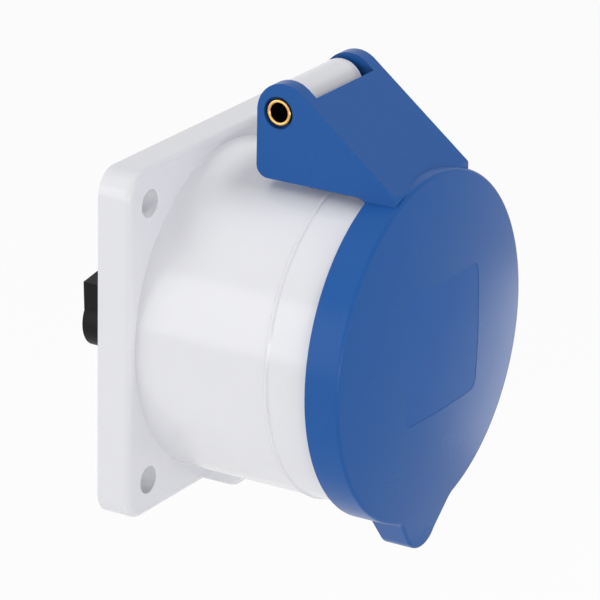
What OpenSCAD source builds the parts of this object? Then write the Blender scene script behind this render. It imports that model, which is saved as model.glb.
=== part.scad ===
// Industrial panel socket with a sprung lid: a square flange, a round shroud, three
// sleeve contacts in a core, and a lid that turns on a tube pin above the shroud.
// Each piece is drawn facing the panel: x right, y up, z out of the panel. The last
// step stands the drawing up, so that +Z is up, -Y faces the user and +Y is the panel.

/* [Flange] */
// Width and height of the square flange
flange_w = 70; // [69:0.5:80]
// Thickness of the flange
flange_t = 7; // [6:0.5:9]
// Radius of the flange's corners
flange_corner_r = 5; // [3:0.5:7]
// Radius of the flange's front edges
flange_edge_r = 1.2; // [0.5:0.1:2]
// Distance between the fixing holes, across and up
hole_pitch = 56; // [55:0.5:58]
// Diameter of the fixing holes
hole_d = 5.5; // [4.5:0.1:6]
// Width of the sealing ring let into the flange's back
seal_w = 3; // [2:0.1:3.2]
// Depth of the sealing ring's groove
seal_t = 1.5; // [1:0.1:2]

/* [Shroud] */
// Diameter of the core that carries the contacts
core_d = 47.4; // [46.6:0.2:47.8]
// Width of the ring-shaped space that the plug's collar fills
collar_space = 5.7; // [5.2:0.1:5.9]
// Wall of the shroud
shroud_wall = 3.4; // [3.1:0.1:3.6]
// Distance from the panel to the step that the lid's rim faces
shroud_len = 45.2; // [43:0.2:48]
// Length of the lip that stands in the lid
lip_len = 3.2; // [2.8:0.1:3.6]
// Set-back of the lip from the shroud's outside
lip_step = 1; // [0.8:0.1:1.2]
// Distance from the panel to the raised ring round the shroud
ridge_z = 36; // [34:0.5:38]
// Height of the raised ring
ridge_h = 0.3; // [0.1:0.1:0.4]
// Depth of the recess behind the rear wall
recess_depth = 4; // [4:0.1:4.6]
// Thickness of the rear wall
web_t = 4; // [3:0.5:5]
// Width of the keyway for the plug
key_w = 8; // [6:0.5:9]
// Depth of the keyway
key_depth = 1.5; // [1:0.1:1.7]
// Width of the rib under the shroud
rib_w = 15; // [12:0.5:17]
// Length of the rib in front of the flange
rib_len = 8.5; // [6:0.5:10]

/* [Hinge] */
// Distance from the panel to the hinge pin
pin_z = 26.1; // [25.5:0.1:27]
// Height of the hinge pin above the shroud
pin_rise = 12.7; // [12.5:0.1:14]
// Outside diameter of the tube pin
pin_d = 5.2; // [4.8:0.1:5.4]
// Inside diameter of the tube pin
pin_hole_d = 3.7; // [3:0.1:4]
// Diameter of the barrel that the pin turns in
barrel_d = 9.6; // [9.5:0.1:9.8]
// Reach of the barrel's neck behind the pin
neck_back = 3.2; // [2.5:0.1:4]
// Width over the lid's two ears
ears_w = 27.4; // [26:0.2:29]
// Thickness of one ear
ear_t = 3.2; // [2.8:0.1:3.6]
// Radius of the ear's round top
ear_r = 5.8; // [5.4:0.1:6]
// Distance of the round top's centre in front of the pin
ear_shift = 1.1; // [0.8:0.1:1.4]
// Gap beside the barrel where the spring's leg comes out
leg_gap = 1; // [1:0.1:1.6]
// Diameter of the spring's wire
wire_d = 0.8; // [0.6:0.05:0.9]
// Number of turns of the spring
spring_turns = 8; // [5:1:9]

/* [Lid] */
// Wall of the lid's rim
rim_wall = 1.8; // [1.5:0.1:2.2]
// Room round the lip inside the rim
rim_clear = 1; // [0.9:0.1:1.3]
// Thickness of the lid at its edge
cover_t = 2.5; // [2:0.1:3]
// Height of the domed front above its edge
dome_rise = 3; // [2:0.1:3.6]
// Radius of the lid's front edge
rim_edge_r = 0.9; // [0.4:0.1:1.2]
// Thickness of the sealing ring in the lid
lid_seal_t = 1.6; // [1.2:0.1:2]
// Slope of the cover over the hinge, from level, in degrees
slope = 38.4; // [37:0.2:40]
// Thickness of the sloped cover
slope_t = 2.6; // [2.2:0.1:2.7]
// Width of the label field
label_w = 27; // [22:0.5:32]
// Height of the label field
label_h = 26; // [20:0.5:30]
// Depth of the label field
label_depth = 0.45; // [0.2:0.05:0.8]
// Height of the label field's centre over the lid's centre
label_lift = 1; // [-1:0.5:3]
// Width of the latch nose where it leaves the rim
nose_w = 18.8; // [17:0.2:20]
// Length of the latch nose below the rim
nose_len = 6.8; // [6:0.1:8]
// Radius of the nose's tip
nose_r = 6.2; // [5.5:0.1:6.6]

/* [Contacts] */
// Radius of the circle that the contacts stand on
pitch_r = 13.5; // [13.3:0.1:13.9]
// Diameter of the live and neutral pins of the plug
pin_live_d = 6; // [5:0.1:6.4]
// Diameter of the earth pin of the plug
pin_earth_d = 8; // [7:0.1:8.4]
// Wall of a contact sleeve
sleeve_wall = 1.5; // [1.2:0.1:1.7]
// Distance from the panel to the core's front face
core_front = 40; // [38:0.2:42]
// Diameter of the hole for the wire
wire_hole_d = 5.8; // [4:0.1:6]
// Diameter of a terminal screw
screw_d = 3.5; // [3:0.5:3.5]
// Diameter of the screws that hold the terminal carrier
carrier_screw_d = 3; // [2.5:0.1:3.5]
// Depth of the contact towers behind the panel
tower_depth = 10; // [9:0.1:10.5]
// Depth of the side bosses behind the panel
boss_depth = 12.6; // [11:0.1:14]

/* [Hidden] */
$fn = 96;
eps = 0.01;
clear = 0.1;            // between pieces that are fitted together
turn_clear = 0.05;      // between the pin and the barrel, on the radius
press_clear = 0.02;     // between the pin and the ears, on the radius

// Shroud and lid, from the core outwards
core_r = core_d / 2;
bore_r = core_r + collar_space;
shroud_r = bore_r + shroud_wall;
lip_r = shroud_r - lip_step;
mouth_z = shroud_len + lip_len;
rim_in_r = lip_r + rim_clear;
rim_r = rim_in_r + rim_wall;
rim_back = shroud_len + 0.3;
cover_z = mouth_z + 2 * clear + lid_seal_t;
rim_front = cover_z + cover_t;
dome_r = rim_r - rim_edge_r;
dome_ball = (dome_r * dome_r + dome_rise * dome_rise) / (2 * dome_rise);
dome_fn = 720;
seal_in_r = bore_r - 1;
seal_out_r = lip_r + 0.4;
ridge_w = 0.5;

// Behind the rear wall
recess_r = core_r + 4.3;
collar_r = recess_r - 0.3;
collar_t = 2.4;
collar_z = recess_depth - clear - collar_t;
plate_r = collar_r - 0.8;
plate_t = 2.4;
plate_z = collar_z - clear - plate_t;
catch_r = plate_r + 0.3;
catch_t = 0.8;
catch_angle = 30;
groove_in = recess_r + 1.6;
groove_out = groove_in + seal_w;

// Hinge
pin_y = shroud_r + pin_rise;
pin_r = pin_d / 2;
barrel_r = barrel_d / 2;
ear_out = ears_w / 2;
ear_in = ear_out - ear_t;
barrel_left = -ear_in + 2 * clear;
barrel_right = ear_in - leg_gap;
pin_end = ear_out - 0.5;
sink_r = pin_r + 0.55;
sink_depth = 1.2;
spring_r = pin_r + wire_d / 2 + clear;
spring_pitch = wire_d + 0.15;
spring_len = spring_turns * spring_pitch;
spring_pocket_r = spring_r + wire_d / 2 + 0.25;
leg_len = 14;
shelf_at = 9;
shelf_w = 4;
shelf_t = 1.4;
leg_x = barrel_right + leg_gap / 2;
coil_x = leg_x - spring_len;
spring_pocket_x = coil_x - wire_d;
fixed_leg_len = 5;

// Side outline of the cover over the hinge, as [distance from panel, height]
ear_c = [pin_z + ear_shift, pin_y];
slope_n = [sin(slope), cos(slope)];
slope_d = [cos(slope), -sin(slope)];
slope_top = ear_c + ear_r * slope_n;
ear_back = ear_c[0] - ear_r;
ear_low = shroud_r - 0.6;
ear_corner_r = 2.5;
block_front = rim_front - 0.8;
slope_end = slope_top + slope_d * (block_front - slope_top[0]) / slope_d[0];
slot_r = pin_r + 4.55;
swing_r = shroud_r + ridge_h + 0.5;
fillet_r = 2;

// Latch nose, seen from the front: two flanks that touch a round tip
nose_c = [0, -(rim_r + nose_len - nose_r)];
nose_root = [nose_w / 2, -sqrt(rim_r * rim_r - nose_w * nose_w / 4)];
nose_v = nose_root - nose_c;
nose_touch_a = atan2(nose_v[1], nose_v[0]) - acos(nose_r / norm(nose_v));
nose_touch = nose_c + nose_r * [cos(nose_touch_a), sin(nose_touch_a)];
flank_d = (nose_root - nose_touch) / norm(nose_root - nose_touch);
flank_n = [flank_d[1], -flank_d[0]];
flank_off = flank_n * nose_touch;
blend_r = 4;
blend_t = sqrt(pow(rim_r + blend_r, 2) - pow(flank_off + blend_r, 2));
blend_c = (flank_off + blend_r) * flank_n - blend_t * flank_d;
blend_foot = blend_c - blend_r * flank_n;
blend_rim = blend_c * rim_r / (rim_r + blend_r);
nose_front = rim_front - 0.9;

// Contacts: [x, y, radius of the pin, direction of the terminal screw]
LIVE = [-pitch_r * cos(30), pitch_r * sin(30), pin_live_d / 2, 1];
NEUTRAL = [pitch_r * cos(30), pitch_r * sin(30), pin_live_d / 2, 1];
EARTH = [0, -pitch_r, pin_earth_d / 2, -1];
CONTACTS = [LIVE, NEUTRAL, EARTH];
face_t = 2.7;
core_wall = 2.5;
shoulder_w = 1.2;
shoulder_t = 3;
chamber_w = 1;
tube_wall = 1.6;
seat_z = collar_z + shoulder_t + 2 * clear;
block_len = 7.4;
chamber_z = seat_z + block_len;
sleeve_front = core_front - face_t - 4 * clear;
pin_depth = 25;
slit_w = 0.8;
slit_len = 14;
ring_wire_r = 0.5;
ring_groove = 0.5;
ring_z = sleeve_front - 4;
ring_gap_angle = 30;
pillar_back = -tower_depth + 1;
wire_hole_len = tower_depth - 0.5;
screw_z = (plate_z - tower_depth) / 2 + 0.4;
tower_wall = 1.55;
screw_head_t = 2.2;
screw_head_r = screw_d / 2 + 1.2;

// Side bosses of the terminal carrier
BOSS = [15.8, -2.3];
boss_r = 5.7;
flank_corner = [21.1, 6.3];
flank_rise = 9;
flank_inner = 15;
boss_head_z = -boss_depth / 2;
boss_head_t = carrier_screw_d * 2 / 3;
boss_head_r = carrier_screw_d / 2 + 1.5;
carrier_boss_r = carrier_screw_d / 2 + 1.9;
carrier_screw_end = chamber_z;

function contact_r(c) = c[2] + sleeve_wall;

// --- Helpers ---------------------------------------------------------------

// Stands the front drawing up in the part's own frame
module upright() {
    rotate([90, 0, 0]) children();
}

// Extrudes a side outline, drawn as [distance from panel, height], from x0 to x1
module along_x(x0, x1) {
    translate([x1, 0, 0]) rotate([0, -90, 0]) linear_extrude(x1 - x0) children();
}

module disc(r, z0, z1) {
    translate([0, 0, z0]) cylinder(r = r, h = z1 - z0);
}

module ring(r_in, r_out, z0, z1) {
    difference() {
        disc(r_out, z0, z1);
        disc(r_in, z0 - eps, z1 + eps);
    }
}

module both_sides() {
    children();
    mirror([1, 0, 0]) children();
}

module at_corners(pitch) {
    for (sx = [-1, 1], sy = [-1, 1]) {
        translate([sx * pitch / 2, sy * pitch / 2, 0]) children();
    }
}

// Square plate with round corners and rounded front edges
module soft_plate(w, t, corner_r, edge_r) {
    inner = w - 2 * corner_r;
    linear_extrude(t - edge_r) {
        square([w, inner], center = true);
        square([inner, w], center = true);
        at_corners(inner) circle(corner_r);
    }
    linear_extrude(t) {
        square([w - 2 * edge_r, inner], center = true);
        square([inner, w - 2 * edge_r], center = true);
        at_corners(inner) circle(corner_r - edge_r);
    }
    translate([0, 0, t - edge_r]) {
        at_corners(inner) rotate_extrude() translate([corner_r - edge_r, 0])
            intersection() {
                circle(edge_r);
                square(2 * edge_r);
            }
        for (turn = [0 : 90 : 270]) {
            rotate([0, 0, turn]) translate([w / 2 - edge_r, inner / 2, 0])
                rotate([90, 0, 0]) cylinder(r = edge_r, h = inner);
        }
    }
}

// --- Housing ---------------------------------------------------------------

module shroud_outside() {
    disc(shroud_r, 0, shroud_len);
    disc(lip_r, 0, mouth_z);
    rotate_extrude() polygon([
        [shroud_r - 1, ridge_z - ridge_w],
        [shroud_r, ridge_z - ridge_w],
        [shroud_r + ridge_h, ridge_z - ridge_w / 4],
        [shroud_r + ridge_h, ridge_z + ridge_w / 4],
        [shroud_r, ridge_z + ridge_w],
        [shroud_r - 1, ridge_z + ridge_w]]);
}

module bottom_rib() {
    drop = flange_w / 2 - shroud_r;
    end_r = drop + 1;
    along_x(-rib_w / 2, rib_w / 2) {
        translate([0, -flange_w / 2])
            square([flange_t + rib_len - end_r, drop + 2]);
        translate([flange_t + rib_len - end_r, -flange_w / 2 + end_r]) circle(end_r);
    }
}

module hinge_barrel() {
    along_x(barrel_left, barrel_right) {
        translate([pin_z, pin_y]) circle(barrel_r);
        translate([pin_z - neck_back, shroud_r - shroud_wall])
            square([neck_back + barrel_r, pin_rise + shroud_wall]);
    }
}

module barrel_holes() {
    along_x(barrel_left - 1, barrel_right + 1)
        translate([pin_z, pin_y]) circle(pin_r + turn_clear);
    along_x(spring_pocket_x, barrel_right + 1)
        translate([pin_z, pin_y]) circle(spring_pocket_r);
    slot = wire_d + 0.3;
    along_x(spring_pocket_x, barrel_right + 1)
        translate([pin_z + spring_r - slot / 2, pin_y - fixed_leg_len - 1])
            square([slot, fixed_leg_len + 1]);
}

module catches() {
    for (turn = [0 : 90 : 270]) {
        rotate([0, 0, turn + 45 - catch_angle / 2])
            rotate_extrude(angle = catch_angle)
                translate([catch_r, collar_z - clear - catch_t])
                    square([recess_r - catch_r + 0.5, catch_t]);
    }
}

module housing() {
    color([0.91, 0.91, 0.92]) upright() {
        difference() {
            union() {
                soft_plate(flange_w, flange_t, flange_corner_r, flange_edge_r);
                shroud_outside();
                bottom_rib();
                hinge_barrel();
            }
            disc(recess_r, -eps, recess_depth);
            disc(core_r + 0.3, -eps, mouth_z + eps);
            disc(bore_r, recess_depth + web_t, mouth_z + eps);
            ring(groove_in, groove_out, -eps, seal_t);
            at_corners(hole_pitch) disc(hole_d / 2, -1, flange_t + 1);
            translate([-key_w / 2, -bore_r - key_depth, recess_depth + web_t])
                cube([key_w, bore_r, mouth_z]);
            barrel_holes();
        }
        catches();
    }
}

module flange_seal() {
    color([0.12, 0.12, 0.13]) upright()
        ring(groove_in + clear, groove_out - clear, 0, seal_t - clear / 2);
}

// --- Lid -------------------------------------------------------------------

// Half section of the lid's domed cover, filled down to a given height
module dome_section(front, low) {
    intersection() {
        translate([0, front + dome_rise - dome_ball]) circle(dome_ball, $fn = dome_fn);
        translate([0, low]) square([dome_r, front + dome_rise - low]);
    }
}

module cover_disc() {
    rotate_extrude() {
        dome_section(rim_front, rim_back);
        translate([0, rim_back]) square([rim_r, rim_front - rim_edge_r - rim_back]);
        translate([rim_r - rim_edge_r, rim_front - rim_edge_r])
            intersection() {
                circle(rim_edge_r);
                square(2 * rim_edge_r);
            }
    }
}

module label_outline() {
    r = 2;
    translate([0, label_lift]) {
        square([label_w, label_h - 2 * r], center = true);
        square([label_w - 2 * r, label_h], center = true);
        for (sx = [-1, 1], sy = [-1, 1]) {
            translate([sx * (label_w / 2 - r), sy * (label_h / 2 - r)]) circle(r);
        }
    }
}

module label_field() {
    difference() {
        translate([0, 0, rim_front - 1]) linear_extrude(dome_rise + 2) label_outline();
        rotate_extrude() dome_section(rim_front - label_depth, rim_back);
    }
}

module nose_outline() {
    translate(nose_c) circle(nose_r);
    polygon([[-nose_root[0], nose_root[1]], [-nose_touch[0], nose_touch[1]],
             nose_c, nose_touch, nose_root, [0, nose_root[1] + 4]]);
    both_sides() difference() {
        polygon([blend_foot, blend_c, blend_rim, nose_root + [-2, 2]]);
        translate(blend_c) circle(blend_r);
    }
}

module ear_outline() {
    translate(ear_c) circle(ear_r);
    translate([ear_back + ear_corner_r, ear_low + ear_corner_r]) circle(ear_corner_r);
    polygon([
        ear_c, [ear_back, ear_c[1]],
        [ear_back, ear_low + ear_corner_r],
        [ear_back + ear_corner_r, ear_low + ear_corner_r],
        [ear_back + ear_corner_r, ear_low],
        [rim_back + 1, ear_low],
        [rim_back + 1, ear_low - fillet_r],
        [block_front, ear_low - fillet_r],
        slope_end, slope_top]);
    difference() {
        translate([rim_back - fillet_r, ear_low - fillet_r]) square(fillet_r + eps);
        translate([rim_back - fillet_r, ear_low - fillet_r]) circle(fillet_r);
    }
}

// The sloped cover between the ears, and its thick end over the rim
module slope_outline() {
    under = slope_t * slope_n;
    polygon([
        slope_top, slope_end,
        [block_front, ear_low - fillet_r], [rim_back, ear_low - fillet_r],
        slope_top - under + slope_d * (rim_back - slope_top[0] + under[0]) / slope_d[0],
        slope_top - under]);
}

module hinge_cover() {
    both_sides() along_x(ear_in, ear_out) ear_outline();
    difference() {
        along_x(-ear_in - eps, ear_in + eps) slope_outline();
        along_x(-ear_in, ear_in) translate([pin_z, pin_y]) circle(slot_r);
    }
}

// Shelf on the right ear, on which the spring's moving leg presses
module spring_shelf() {
    low = spring_r + wire_d / 2 + clear + shelf_t;
    corner = [pin_z, pin_y] - low * slope_n + shelf_at * slope_d;
    along_x(barrel_right + clear, ear_in + eps)
        polygon([corner, corner + shelf_w * slope_d,
                 corner + shelf_w * slope_d + shelf_t * slope_n,
                 corner + shelf_t * slope_n]);
}

module lid() {
    color([0.15, 0.36, 0.63]) upright() {
        difference() {
            union() {
                cover_disc();
                hinge_cover();
                spring_shelf();
                translate([0, 0, rim_back])
                    linear_extrude(nose_front - rim_back) nose_outline();
            }
            label_field();
            disc(rim_in_r, rim_back - eps, cover_z);
            disc(swing_r, pin_z + ear_shift - ear_r - 1, rim_back);
            rotate_extrude() intersection() {
                dome_section(rim_front - cover_t, rim_back);
                square([seal_in_r - 1, rim_front + dome_rise]);
            }
            along_x(-ear_out - 1, ear_out + 1)
                translate([pin_z, pin_y]) circle(pin_r + press_clear);
            both_sides() along_x(ear_out - sink_depth, ear_out + 1)
                translate([pin_z, pin_y]) circle(sink_r);
        }
    }
}

module lid_seal() {
    color([0.12, 0.12, 0.13]) upright()
        ring(seal_in_r, seal_out_r, cover_z - lid_seal_t, cover_z);
}

// --- Hinge pin and spring --------------------------------------------------

module hinge_pin() {
    rim = 0.35;
    color([0.72, 0.47, 0.2]) upright()
        translate([0, pin_y, pin_z]) rotate([0, 90, 0]) rotate_extrude()
            polygon([
                [pin_hole_d / 2, -pin_end + rim], [pin_hole_d / 2 + rim, -pin_end],
                [pin_r - rim / 2, -pin_end], [pin_r, -pin_end + rim / 2],
                [pin_r, pin_end - rim / 2], [pin_r - rim / 2, pin_end],
                [pin_hole_d / 2 + rim, pin_end], [pin_hole_d / 2, pin_end - rim]]);
}

// Round wire through a list of points, one ring of sides at each point
module wire(path, r, sides = 8) {
    last = len(path) - 1;
    tangent = [for (i = [0 : last])
        let (v = path[min(i + 1, last)] - path[max(i - 1, 0)]) v / norm(v)];
    rings = [for (i = [0 : last])
        let (t = tangent[i],
             side = cross(t, abs(t[0]) > 0.9 ? [0, 1, 0] : [1, 0, 0]),
             a = side / norm(side),
             b = cross(a, t))
        for (k = [0 : sides - 1])
            path[i] + r * (a * cos(360 * k / sides) + b * sin(360 * k / sides))];
    walls = [for (i = [0 : last - 1], k = [0 : sides - 1])
        let (j = (k + 1) % sides)
        [i * sides + k, i * sides + j, (i + 1) * sides + j, (i + 1) * sides + k]];
    first_cap = [for (k = [sides - 1 : -1 : 0]) k];
    last_cap = [for (k = [0 : sides - 1]) last * sides + k];
    polyhedron(points = rings, faces = concat(walls, [first_cap, last_cap]),
               convexity = 10);
}

// The coil starts at the fixed leg, which points down into the neck's slot. It ends at
// the moving leg, which passes under the pin and presses on the ear's shelf. Opening
// the lid winds the coil up.
module lid_spring() {
    turn_total = 360 * spring_turns - 90 - slope;
    steps = 20 * spring_turns;
    coil = [for (i = [0 : steps])
        let (s = i / steps, a = turn_total * s)
        [coil_x + (leg_x - coil_x) * s,
         pin_y + spring_r * sin(a), pin_z + spring_r * cos(a)]];
    fixed = [coil_x, pin_y - fixed_leg_len, pin_z + spring_r];
    moving = coil[steps] + leg_len * [0, slope_d[1], slope_d[0]];
    color([0.7, 0.71, 0.73]) upright()
        wire(concat([fixed], coil, [moving]), wire_d / 2);
}

// --- Carriers --------------------------------------------------------------

module contact_carrier() {
    color([0.13, 0.13, 0.14]) upright() difference() {
        union() {
            disc(collar_r, collar_z, recess_depth - clear);
            difference() {
                disc(core_r, collar_z, core_front);
                disc(core_r - core_wall, collar_z - eps, core_front - face_t);
            }
            for (c = CONTACTS) {
                translate([c[0], c[1], 0])
                    disc(contact_r(c) + chamber_w + tube_wall, collar_z, core_front - 1);
            }
            both_sides() translate(BOSS)
                disc(carrier_boss_r, collar_z, carrier_screw_end + 2);
        }
        // The collar stays a ring, so that the core is hollow behind
        difference() {
            disc(core_r - core_wall, collar_z - eps, recess_depth);
            for (c = CONTACTS) {
                translate([c[0], c[1], 0])
                    disc(contact_r(c) + chamber_w + tube_wall, 0, recess_depth + 1);
            }
            both_sides() translate(BOSS) disc(carrier_boss_r, 0, recess_depth + 1);
        }
        for (c = CONTACTS) {
            translate([c[0], c[1], 0]) {
                disc(contact_r(c) + shoulder_w + clear, collar_z - eps, seat_z);
                disc(contact_r(c) + clear, collar_z, chamber_z + eps);
                disc(contact_r(c) + chamber_w, chamber_z, core_front - face_t);
                disc(c[2] + 0.35, collar_z, core_front + eps);
            }
        }
        both_sides() translate(BOSS)
            disc(carrier_screw_d / 2 + press_clear, collar_z - eps, carrier_screw_end + 1);
    }
}

// Outline of one side boss: a round lobe and a sloping flank above it
module boss_outline() {
    translate(BOSS) circle(boss_r);
    reach = flank_corner[0] - flank_inner;
    polygon([
        flank_corner,
        [flank_inner, flank_corner[1] + reach * tan(flank_rise)],
        [flank_inner, BOSS[1]],
        [flank_corner[0] - 0.4, BOSS[1]]]);
}

module terminal_carrier() {
    color([0.13, 0.13, 0.14]) upright() difference() {
        union() {
            disc(plate_r, plate_z, plate_z + plate_t);
            for (c = CONTACTS) {
                translate([c[0], c[1], 0])
                    disc(contact_r(c) + tower_wall, -tower_depth, plate_z + eps);
            }
            both_sides() translate([0, 0, -boss_depth])
                linear_extrude(boss_depth + plate_z + eps) boss_outline();
        }
        for (c = CONTACTS) {
            translate([c[0], c[1], 0])
                disc(contact_r(c) + clear, -boss_depth - 1, plate_z + plate_t + eps);
            translate([c[0], c[1], screw_z]) rotate([-90 * c[3], 0, 0])
                cylinder(r = screw_d / 2 + clear, h = contact_r(c) + tower_wall + 1);
        }
        both_sides() translate(BOSS) {
            disc(carrier_screw_d / 2 + clear, -boss_depth - 1, plate_z + plate_t + eps);
            disc(boss_head_r + 0.3, -boss_depth - 1, boss_head_z);
        }
    }
}

// --- Contacts --------------------------------------------------------------

module contact(c) {
    r = contact_r(c);
    color([0.76, 0.6, 0.28]) upright() translate([c[0], c[1], 0]) difference() {
        union() {
            disc(r, pillar_back, sleeve_front);
            disc(r + shoulder_w, collar_z, collar_z + shoulder_t);
        }
        disc(c[2], sleeve_front - pin_depth, sleeve_front + eps);
        disc(wire_hole_d / 2, pillar_back - eps, pillar_back + wire_hole_len);
        ring(r - ring_groove, r + 1, ring_z - ring_wire_r - clear,
             ring_z + ring_wire_r + clear);
        for (turn = [45, 135]) {
            rotate([0, 0, turn]) translate([-r - 1, -slit_w / 2, sleeve_front - slit_len])
                cube([2 * r + 2, slit_w, slit_len + 1]);
        }
        translate([0, 0, screw_z]) rotate([-90 * c[3], 0, 0])
            cylinder(r = screw_d / 2 + press_clear, h = r + 1);
    }
}

module spring_ring(c) {
    ring_r = contact_r(c) - ring_groove + ring_wire_r + press_clear;
    color([0.7, 0.71, 0.73]) upright() translate([c[0], c[1], ring_z])
        rotate([0, 0, 90 * c[3] + ring_gap_angle / 2])
            rotate_extrude(angle = 360 - ring_gap_angle)
                translate([ring_r, 0]) circle(ring_wire_r);
}

// Cheese-head screw along +z, with its head's underside at the origin
module slotted_screw(d, len, head_r, head_t) {
    difference() {
        union() {
            cylinder(r = head_r, h = head_t);
            translate([0, 0, -len]) cylinder(r = d / 2, h = len + eps);
        }
        translate([-head_r - 1, -0.4, head_t * 0.45]) cube([2 * head_r + 2, 0.8, head_t]);
    }
}

module terminal_screw(c) {
    seat = contact_r(c) + tower_wall + clear;
    color([0.7, 0.71, 0.73]) upright()
        translate([c[0], c[1] + c[3] * seat, screw_z]) rotate([-90 * c[3], 0, 0])
            slotted_screw(screw_d, seat - wire_hole_d / 2 - clear, screw_head_r,
                          screw_head_t);
}

module carrier_screws() {
    color([0.7, 0.71, 0.73]) upright() both_sides()
        translate([BOSS[0], BOSS[1], boss_head_z - clear]) rotate([180, 0, 0])
            slotted_screw(carrier_screw_d, carrier_screw_end - boss_head_z, boss_head_r,
                          boss_head_t);
}

module live_contact() contact(LIVE);
module neutral_contact() contact(NEUTRAL);
module earth_contact() contact(EARTH);
module live_spring_ring() spring_ring(LIVE);
module neutral_spring_ring() spring_ring(NEUTRAL);
module earth_spring_ring() spring_ring(EARTH);
module live_terminal_screw() terminal_screw(LIVE);
module neutral_terminal_screw() terminal_screw(NEUTRAL);
module earth_terminal_screw() terminal_screw(EARTH);

housing();
flange_seal();
lid();
lid_seal();
hinge_pin();
lid_spring();
contact_carrier();
terminal_carrier();
live_contact();
neutral_contact();
earth_contact();
live_spring_ring();
neutral_spring_ring();
earth_spring_ring();
live_terminal_screw();
neutral_terminal_screw();
earth_terminal_screw();
carrier_screws();
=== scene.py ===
"""Looks of an industrial panel socket: a white flanged housing with a round shroud, and
a blue sprung lid that turns on a tube pin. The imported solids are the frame, and the
moulded pieces are modelled again here with their edges and faces finished."""

import logging
import math
from dataclasses import dataclass
from enum import Enum
from typing import Callable, Optional, Sequence, Union

import bpy
from bpy.types import Material, Node, NodeSocket, Object, World
from mathutils import Matrix, Vector


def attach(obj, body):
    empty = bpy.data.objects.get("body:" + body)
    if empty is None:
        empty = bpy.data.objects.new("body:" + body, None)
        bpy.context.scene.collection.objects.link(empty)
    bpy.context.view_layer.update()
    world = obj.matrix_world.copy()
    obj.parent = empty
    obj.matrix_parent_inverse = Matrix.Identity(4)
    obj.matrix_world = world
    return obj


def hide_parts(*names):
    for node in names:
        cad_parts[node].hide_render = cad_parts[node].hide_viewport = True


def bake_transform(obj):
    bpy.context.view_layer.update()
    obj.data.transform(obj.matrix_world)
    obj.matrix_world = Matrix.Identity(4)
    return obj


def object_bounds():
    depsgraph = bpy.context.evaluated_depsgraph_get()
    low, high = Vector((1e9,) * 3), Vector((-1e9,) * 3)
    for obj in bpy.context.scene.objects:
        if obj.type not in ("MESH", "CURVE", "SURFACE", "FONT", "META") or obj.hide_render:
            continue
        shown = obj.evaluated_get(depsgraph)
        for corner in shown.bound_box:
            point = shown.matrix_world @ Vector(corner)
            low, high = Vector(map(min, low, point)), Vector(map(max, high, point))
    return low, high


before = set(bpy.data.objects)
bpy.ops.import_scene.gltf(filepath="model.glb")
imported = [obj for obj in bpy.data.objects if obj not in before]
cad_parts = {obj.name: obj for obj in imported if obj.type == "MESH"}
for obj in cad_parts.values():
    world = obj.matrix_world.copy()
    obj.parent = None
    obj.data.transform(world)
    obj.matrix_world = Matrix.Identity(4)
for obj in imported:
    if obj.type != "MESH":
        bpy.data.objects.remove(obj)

LOG = logging.getLogger("panel_socket")
MM = 0.001
PACKED_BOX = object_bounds()

PIN_AT = Vector((26.1, 45.5))
PIN_R = 2.6
COVER_SLOPE = math.radians(38.4)


class Body(Enum):
    """The two bodies that the lid's hinge joins."""

    HOUSING = "housing"
    LID = "lid"


class Plane(Enum):
    """How the two numbers of an outline become a place, seen facing the panel."""

    FRONT = "across and up"
    SIDE = "out of the panel and up"
    LATHE = "from the shroud's axis and out of the panel"


# --- Outlines --------------------------------------------------------------------------


@dataclass(frozen=True)
class Corner:
    """A corner of an outline, in millimetres, with the radius that rounds it."""

    u: float
    v: float
    radius: float = 0.0

    @property
    def at(self) -> Vector:
        """The corner's place before it is rounded."""
        return Vector((self.u, self.v))


def arc(centre: Vector, radius: float, start: float, end: float, steps: int) -> list[Vector]:
    """Points along an arc, ends included.

    Args:
        centre: centre of the arc.
        radius: its radius.
        start: angle of the first point, in degrees.
        end: angle of the last point, in degrees.
        steps: number of stretches between points.

    Returns:
        The points in order.
    """
    angles = [math.radians(start + (end - start) * k / steps) for k in range(steps + 1)]
    return [centre + radius * Vector((math.cos(a), math.sin(a))) for a in angles]


def rounded(corners: Sequence[Corner], closed: bool = True, step: float = 6.0) -> list[Vector]:
    """Turns corners into points, with an arc at each corner that has a radius.

    Args:
        corners: the corners in order.
        closed: whether the last corner joins the first.
        step: largest angle between points of an arc, in degrees.

    Returns:
        The points of the rounded outline.
    """
    points: list[Vector] = []
    last = len(corners) - 1
    for index, corner in enumerate(corners):
        if corner.radius == 0 or (not closed and index in (0, last)):
            points.append(corner.at)
            continue
        before = (corners[index - 1].at - corner.at).normalized()
        after = (corners[(index + 1) % len(corners)].at - corner.at).normalized()
        half = before.angle(after) / 2
        centre = corner.at + (before + after).normalized() * corner.radius / math.sin(half)
        start = corner.at + before * corner.radius / math.tan(half) - centre
        turn = math.pi - 2 * half
        side = 1 if before.cross(after) < 0 else -1
        steps = max(2, math.ceil(math.degrees(turn) / step))
        for k in range(steps + 1):
            points.append(centre + Matrix.Rotation(side * turn * k / steps, 2) @ start)
    return points


def box(
    left: float, low: float, right: float, high: float, radius: float = 0.0, step: float = 6.0
) -> list[Vector]:
    """The outline of a box, in millimetres.

    Args:
        left: its left side.
        low: its lower side.
        right: its right side.
        high: its upper side.
        radius: radius of its corners.
        step: largest angle between points of a rounded corner, in degrees.

    Returns:
        The points in order.
    """
    places = ((left, low), (right, low), (right, high), (left, high))
    return rounded([Corner(u, v, radius) for u, v in places], step=step)


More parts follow.
